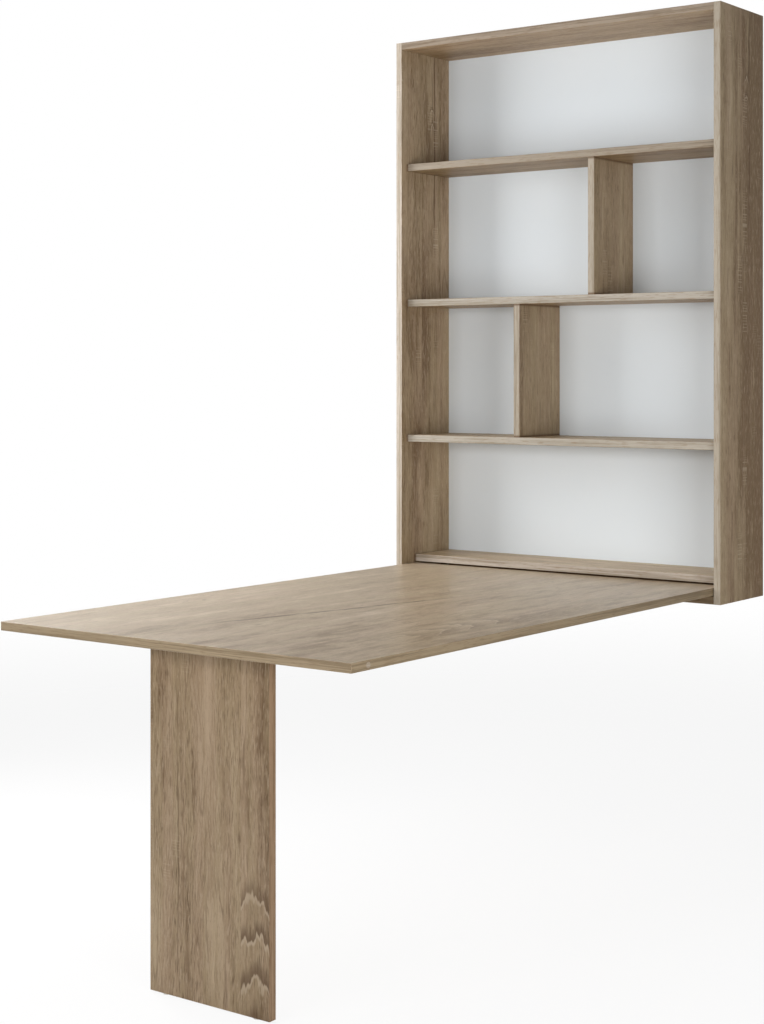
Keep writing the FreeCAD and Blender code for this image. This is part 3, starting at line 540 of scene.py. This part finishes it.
def metal(name, light, dark, roughness, stretch, names):
    """Bare or plated metal: tone and roughness follow stretched noise and small cells."""
    material, tree, shader = new_material(name, Metallic=1.0)
    place = tree.add("ShaderNodeTexCoord").outputs["Object"]
    brushed = tree.noise(tree.stretch(place, *stretch), 3.0, 0.6)
    spangle = tree.add("ShaderNodeTexVoronoi", {"Vector": place, "Scale": 140.0})
    own = tree.add("ShaderNodeSeparateColor", {0: spangle.outputs["Color"]}).outputs[0]
    level = tree.math("ADD", tree.math("MULTIPLY", brushed, 0.7), tree.math("MULTIPLY", own, 0.3))
    tree.feed(shader.inputs["Base Color"], tree.mix(level, dark, light))
    tree.feed(shader.inputs["Roughness"], tree.ramp(level, 0.2, 0.8, roughness + 0.1,
                                                    roughness - 0.06))
    bump(tree, shader, brushed, 0.03 * MM, 0.4)
    give(names, material)


def plastic(name, light, dark, roughness, names):
    """Moulded plastic with a faint grain."""
    material, tree, shader = new_material(name, Roughness=roughness, IOR=1.5)
    place = tree.add("ShaderNodeTexCoord").outputs["Object"]
    grain = tree.noise(tree.stretch(place, 900.0, 900.0, 900.0), 2.0)
    tree.feed(shader.inputs["Base Color"], tree.mix(grain, dark, light))
    bump(tree, shader, grain, 0.05 * MM, 0.4)
    give(names, material)


def beech(names):
    """Plain beech whose fibres run along Y."""
    material, tree, shader = new_material("beech", Roughness=0.6)
    place = tree.add("ShaderNodeTexCoord").outputs["Object"]
    grain = tree.noise(tree.stretch(place, 500.0, 40.0, 500.0), 3.0)
    tree.feed(shader.inputs["Base Color"],
              tree.mix(grain, colour(206, 168, 122), colour(176, 134, 92)))
    bump(tree, shader, grain, 0.05 * MM)
    give(names, material)


def strike_cover(names):
    """The edge band's decor on the catch's strike, a disc in the table's right edge."""
    material, tree, shader = new_material("strike_cover", Roughness=0.46, IOR=1.46)
    place = tree.split(tree.add("ShaderNodeTexCoord").outputs["Object"])
    band = tree.add("ShaderNodeGroup", {0: tree.vector(place[Y], place[Z], 0.0), 1: 11.0,
                                        2: grey(1.0)}, node_tree=BAND)
    tree.feed(shader.inputs["Base Color"], band.outputs["Color"])
    bump(tree, shader, band.outputs["Height"], 0.08 * MM)
    give(names, material)


def finish_fittings():
    """Hardware: hinges, pins, rail, cams, nylon parts, glides and beech tongues."""
    metal("hinge_steel", colour(196, 196, 194), colour(158, 158, 157), 0.34,
          (60.0, 2200.0, 2200.0), ["leaf_hinge_plates", "leg_hinge_plates", "hinge_pins"])
    metal("bright_steel", colour(205, 205, 203), colour(172, 172, 171), 0.26,
          (90.0, 2600.0, 2600.0), ["pivot_pins", "cam_bolts"])
    metal("zinc", colour(176, 178, 181), colour(140, 142, 146), 0.42,
          (700.0, 700.0, 700.0), ["cam_locks"])
    metal("galvanised_steel", colour(182, 185, 188), colour(142, 146, 150), 0.44,
          (120.0, 260.0, 260.0), ["wall_rail", "hanging_strip", "wall_brackets"])
    metal("magnet_nickel", colour(190, 188, 182), colour(160, 158, 152), 0.28,
          (900.0, 900.0, 900.0), ["catch_magnet"])
    plastic("nylon", colour(226, 223, 214), colour(214, 211, 202), 0.4,
            ["slot_liners", "pivot_bushes"])
    plastic("glide_plastic", colour(222, 219, 212), colour(208, 205, 198), 0.5, ["leg_glides"])
    beech(["board_tongues", "divider_tongues"])
    strike_cover(["catch_strike"])


# ---------------------------------------------------------------- floor, light and camera

def new_object(name, data):
    made = bpy.data.objects.new(name, data)
    bpy.context.scene.collection.objects.link(made)
    return made


def floor():
    """A pale round floor that fades out towards its rim and can't be seen from below.

    The camera sees mostly plain white there, with a share of the lit paint for the shadow.
    """
    radius, corners = 14.0, 96
    plain_white = 0.88
    fade_start, fade_end = 2.2, 6.0
    around = np.linspace(0, 2 * math.pi, corners, endpoint=False)
    rim = np.stack([np.cos(around), np.sin(around), np.zeros_like(around)], 1) * radius
    mesh = bpy.data.meshes.new("floor")
    mesh.from_pydata(rim.tolist(), [], [list(range(corners))])
    made = new_object("floor", mesh)
    material, tree, shader = new_material("floor_paint", Roughness=0.8, Specular_IOR_Level=0.0)
    place = tree.add("ShaderNodeTexCoord").outputs["Object"]
    cloud = tree.noise(tree.stretch(place, 0.8, 0.8, 0.8), 2.0)
    tree.feed(shader.inputs["Base Color"],
              tree.mix(cloud, colour(240, 240, 240), colour(236, 236, 236)))
    glow = tree.add("ShaderNodeEmission", {"Strength": 1.0}).outputs[0]
    clear = tree.add("ShaderNodeBsdfTransparent").outputs[0]
    seen = tree.add("ShaderNodeLightPath").outputs["Is Camera Ray"]
    below = tree.add("ShaderNodeNewGeometry").outputs["Backfacing"]
    paled = tree.add("ShaderNodeMixShader", {0: tree.math("MULTIPLY", seen, plain_white),
                                             1: shader.outputs[0], 2: glow}).outputs[0]
    out = tree.add("ShaderNodeVectorMath", {0: place}, operation="LENGTH").outputs["Value"]
    gone = tree.math("MAXIMUM", tree.ramp(out, fade_start, fade_end), below)
    gone = tree.math("MULTIPLY", gone, seen)
    whole = tree.add("ShaderNodeMixShader", {0: gone, 1: paled, 2: clear}).outputs[0]
    tree.feed(material.node_tree.nodes["Material Output"].inputs["Surface"], whole)
    mesh.materials.append(material)


def surroundings():
    """White where it is seen, grey where it is mirrored, and a soft light on all else.

    What is mirrored gets brighter towards the left, from one X of the direction to another.
    """
    ambient, mirrored, mirrored_left = 0.235, 0.36, 1.0
    grey_until, white_from = -0.64, -0.77
    world = bpy.context.scene.world or bpy.data.worlds.new("surroundings")
    bpy.context.scene.world = world
    world.use_nodes = True
    tree = Tree(world.node_tree)
    path = tree.add("ShaderNodeLightPath").outputs
    seen = tree.math("MULTIPLY", path["Is Camera Ray"], 1.0 - ambient)
    direction = tree.split(tree.add("ShaderNodeTexCoord").outputs["Generated"])
    reflected = tree.ramp(direction[X], grey_until, white_from, mirrored - ambient,
                          mirrored_left - ambient)
    glossy = tree.math("MULTIPLY", path["Is Glossy Ray"], reflected)
    strength = tree.math("ADD", tree.math("ADD", seen, glossy), ambient)
    background = world.node_tree.nodes["Background"]
    background.inputs["Color"].default_value = (1.0, 1.0, 1.0, 1.0)
    tree.feed(background.inputs["Strength"], strength)


def screws(name, spots, facing, radius, body):
    """Cross-recessed screw heads at spots (x, y, z), all facing one way.

    A head is a surface of distance from its middle and of angle, worked out as shares of
    its radius. Its height is a low dome that falls to the plate at the rim. Within six
    tenths of the radius two crossed slots are sunk in, which get shallower outwards.
    """
    turns, rings = 32, 11
    dome_height, slot_half_width, slot_reach = 0.26, 0.13, 0.62
    slot_depth, slot_runs_out = 0.34, 0.7
    share = np.linspace(0, 1, rings)[:, None]
    angle = np.linspace(0, 2 * math.pi, turns, endpoint=False)[None, :]
    side, up = share * np.cos(angle), share * np.sin(angle)
    dome = dome_height * np.sqrt(np.clip(1 - share ** 2, 0, 1)) * np.ones_like(angle)
    in_slot = (np.minimum(abs(side), abs(up)) < slot_half_width) & (share < slot_reach)
    height = np.where(in_slot, dome - slot_depth * (1 - share / slot_runs_out), dome)
    normal = Vector(facing)
    turn = np.array(normal.to_track_quat("Z", "Y").to_matrix())
    head = np.stack([side, up, height], -1).reshape(-1, 3) * radius @ turn.T
    row, step = np.meshgrid(np.arange(rings - 1), np.arange(turns), indexing="ij")
    following = (step + 1) % turns
    quads = np.stack([row * turns + step, (row + 1) * turns + step,
                      (row + 1) * turns + following, row * turns + following], -1)
    quads = quads.reshape(-1, 4)
    points = np.concatenate([head + np.array(spot) for spot in spots])
    faces = np.concatenate([quads + index * len(head) for index in range(len(spots))])
    mesh = bpy.data.meshes.new(name)
    mesh.from_pydata(points.tolist(), [], faces.tolist())
    mesh.materials.append(bpy.data.materials["zinc"])
    made = new_object(name, mesh)
    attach(made, body)


def hinge_screws():
    """Three screws in each plate of both leg hinges, the middle one farther from the pin."""
    radius = 3.2 * MM
    hinge_width = 60 * MM
    plate = 1.5 * MM
    pattern = [(-20 * MM, 13 * MM), (0.0, 25 * MM), (20 * MM, 13 * MM)]
    pin_low, pin_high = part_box("hinge_pins")
    axis_y = (pin_low.y + pin_high.y) / 2
    axis_z = (pin_low.z + pin_high.z) / 2
    plates_low, plates_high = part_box("leaf_hinge_plates")
    middles = [plates_low.x + hinge_width / 2, plates_high.x - hinge_width / 2]
    under_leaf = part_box("table_leaf")[0].z - plate
    behind_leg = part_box("leg_panel")[1].y + plate
    screws("leaf_hinge_screws", [(middle + aside, axis_y + reach, under_leaf)
                                 for middle in middles for aside, reach in pattern],
           (0, 0, -1), radius, "leaf")
    screws("leg_hinge_screws", [(middle + aside, behind_leg, axis_z - reach)
                                for middle in middles for aside, reach in pattern],
           (0, 1, 0), radius, "leg")


def bracket_screws():
    """Two screws up through each wall bracket into the cabinet's bottom."""
    sheet = 2 * MM
    bracket_width = 40 * MM
    half_spacing = 11 * MM
    from_wall = 17 * MM
    low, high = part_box("wall_brackets")
    middles = (low.x + bracket_width / 2, high.x - bracket_width / 2)
    screws("bracket_screws", [(middle + aside, high.y - from_wall, high.z - sheet)
                              for middle in middles for aside in (-half_spacing, half_spacing)],
           (0, 0, -1), 3.6 * MM, "cabinet")


def strip_screws():
    """One screw at each end of the hanging strip, through its end plate into the side."""
    sheet = 2 * MM
    from_rear = 2.3 * MM
    from_foot = 5 * MM
    low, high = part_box("hanging_strip")
    for name, end, inwards in (("strip_screw_left", low.x, 1), ("strip_screw_right", high.x, -1)):
        spot = (end + inwards * sheet, high.y - from_rear, low.z + from_foot)
        screws(name, [spot], (inwards, 0, 0), 1.9 * MM, "cabinet")


def softbox(name, place, target, width, height, power, spread=math.pi, mirrored=True):
    """A soft rectangular lamp that looks from a place to a target and spreads to an angle."""
    lamp = bpy.data.lights.new(name, "AREA")
    lamp.shape = "RECTANGLE"
    lamp.size = width
    lamp.size_y = height
    lamp.energy = power
    lamp.spread = spread
    made = new_object(name, lamp)
    made.location = place
    towards = np.array(target) - np.array(place)
    made.rotation_euler = Vector(towards).to_track_quat("-Z", "Y").to_euler()
    made.visible_camera = False
    made.visible_glossy = mirrored


def lights():
    """Soft lamps above, to the left, to the right and in front, and a narrow one far left."""
    softbox("top_softbox", (-0.4, -0.9, 3.9), (0.0, -0.1, 0.75), 2.4, 2.4, 21.0)
    softbox("left_softbox", (-1.9, -0.5, 1.7), (0.1, 0.4, 1.2), 1.2, 1.2, 32.0)
    softbox("right_softbox", (2.9, -1.6, 0.9), (0.2, 0.5, 1.1), 1.4, 1.2, 51.0)
    softbox("front_softbox", (-0.4, -3.2, 1.5), (0.0, 0.6, 1.1), 2.0, 0.8, 42.0)
    softbox("rim_softbox", (-3.1, 0.75, 1.15), (-0.45, -0.75, 0.75), 1.0, 0.7, 17.5,
            spread=math.radians(80), mirrored=False)


def camera():
    """A level camera in front and to the right, shifted to hold the desk upright."""
    height_px = 1024
    focal_px = 1784.443
    off_centre = (-0.146875, -0.136896)
    eye = (2.554407, -3.251997, 1.273749)
    heading = math.radians(34.31945)
    lens = bpy.data.cameras.new("camera")
    lens.sensor_fit = "AUTO"
    lens.sensor_width = 36.0
    lens.lens = focal_px * lens.sensor_width / height_px
    lens.shift_x, lens.shift_y = off_centre
    made = new_object("camera", lens)
    made.location = eye
    made.rotation_euler = (math.pi / 2, 0.0, heading)
    bpy.context.scene.camera = made


camera()
finish_boards()
finish_back()
finish_fittings()
hinge_screws()
bracket_screws()
strip_screws()
floor()
surroundings()
lights()
bpy.context.scene.view_settings.view_transform = "Standard"
